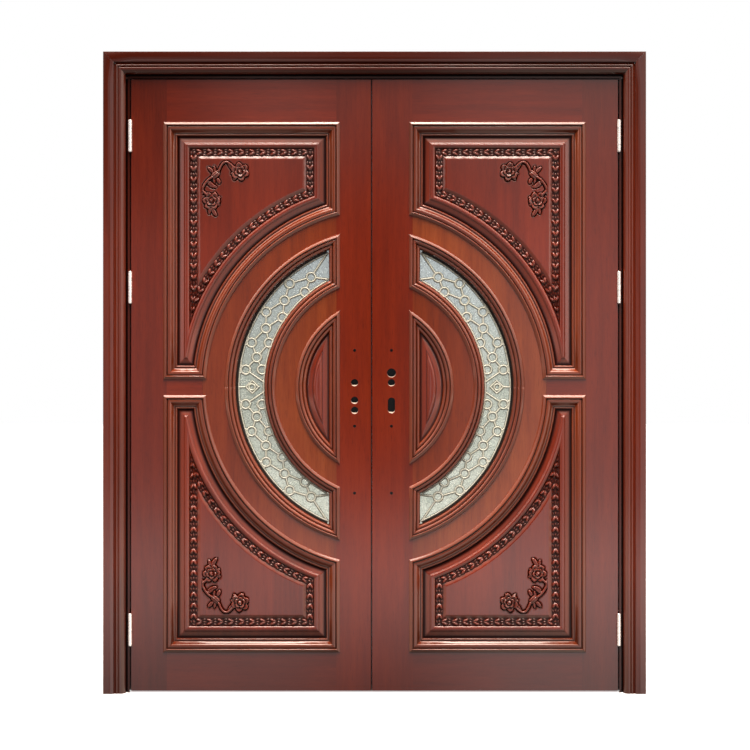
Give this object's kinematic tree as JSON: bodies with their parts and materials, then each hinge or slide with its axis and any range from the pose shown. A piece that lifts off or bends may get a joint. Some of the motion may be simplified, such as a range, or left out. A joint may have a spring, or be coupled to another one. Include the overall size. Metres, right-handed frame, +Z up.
{
  "type": "double door set",
  "caption": "Double-leaf carved hardwood door set with rebated frame and moulded casing, raised panels, crescent leaded lights and butt hinges; drilled for locks.",
  "frame": {"origin": "floor level, middle of the width, middle of the frame's depth, in the plane of the rebate stop", "axes": "+X to the right seen from the front, +Z up, the front with the hinge knuckles faces -Y"},
  "size_m": [1.8, 0.146, 2.13],
  "materials": {
    "frame_wood": "satin lacquer",
    "leaf_wood": "satin lacquer",
    "moulding_wood": "gloss lacquer",
    "panel_wood": "satin lacquer",
    "glass": "textured, translucent",
    "came": "satin",
    "hinge_metal": "bright",
    "seal": "matt"
  },
  "bodies": {
    "frame": {"left_jamb": "frame_wood", "right_jamb": "frame_wood", "head_jamb": "frame_wood", "left_casing": "frame_wood", "right_casing": "frame_wood", "head_casing": "frame_wood", "left_hinge_frame_plates": "hinge_metal", "right_hinge_frame_plates": "hinge_metal", "left_hinge_pins": "hinge_metal", "right_hinge_pins": "hinge_metal", "hinge_frame_screws": "hinge_metal"},
    "left_leaf": {"left_hinge_stile": "leaf_wood", "left_lock_stile": "leaf_wood", "left_top_rail": "leaf_wood", "left_mid_rail": "leaf_wood", "left_bottom_rail": "leaf_wood", "left_outer_curved_rail": "leaf_wood", "left_inner_curved_rail": "leaf_wood", "left_upper_panel": "panel_wood", "left_lower_panel": "panel_wood", "left_centre_panel": "panel_wood", "left_glass_pane": "glass", "left_glass_came": "came", "left_upper_moulding": "moulding_wood", "left_lower_moulding": "moulding_wood", "left_glass_moulding": "moulding_wood", "left_centre_moulding": "moulding_wood", "left_upper_moulding_back": "moulding_wood", "left_lower_moulding_back": "moulding_wood", "left_glass_moulding_back": "moulding_wood", "left_centre_moulding_back": "moulding_wood", "left_hinge_leaf_plates": "hinge_metal", "left_hinge_leaf_screws": "hinge_metal", "left_meeting_seal": "seal"},
    "right_leaf": {"right_hinge_stile": "leaf_wood", "right_lock_stile": "leaf_wood", "right_top_rail": "leaf_wood", "right_mid_rail": "leaf_wood", "right_bottom_rail": "leaf_wood", "right_outer_curved_rail": "leaf_wood", "right_inner_curved_rail": "leaf_wood", "right_upper_panel": "panel_wood", "right_lower_panel": "panel_wood", "right_centre_panel": "panel_wood", "right_glass_pane": "glass", "right_glass_came": "came", "right_upper_moulding": "moulding_wood", "right_lower_moulding": "moulding_wood", "right_glass_moulding": "moulding_wood", "right_centre_moulding": "moulding_wood", "right_upper_moulding_back": "moulding_wood", "right_lower_moulding_back": "moulding_wood", "right_glass_moulding_back": "moulding_wood", "right_centre_moulding_back": "moulding_wood", "right_hinge_leaf_plates": "hinge_metal", "right_hinge_leaf_screws": "hinge_metal"}
  },
  "joints": [
    {"name": "left_leaf_swing", "type": "hinge", "parent": "frame", "child": "left_leaf", "pos_m": [-0.813, -0.0545, 0], "axis": [0, 0, -1], "range_deg": [0, 120]},
    {"name": "right_leaf_swing", "type": "hinge", "parent": "frame", "child": "right_leaf", "pos_m": [0.813, -0.0545, 0], "axis": [0, 0, 1], "range_deg": [0, 120]}
  ]
}
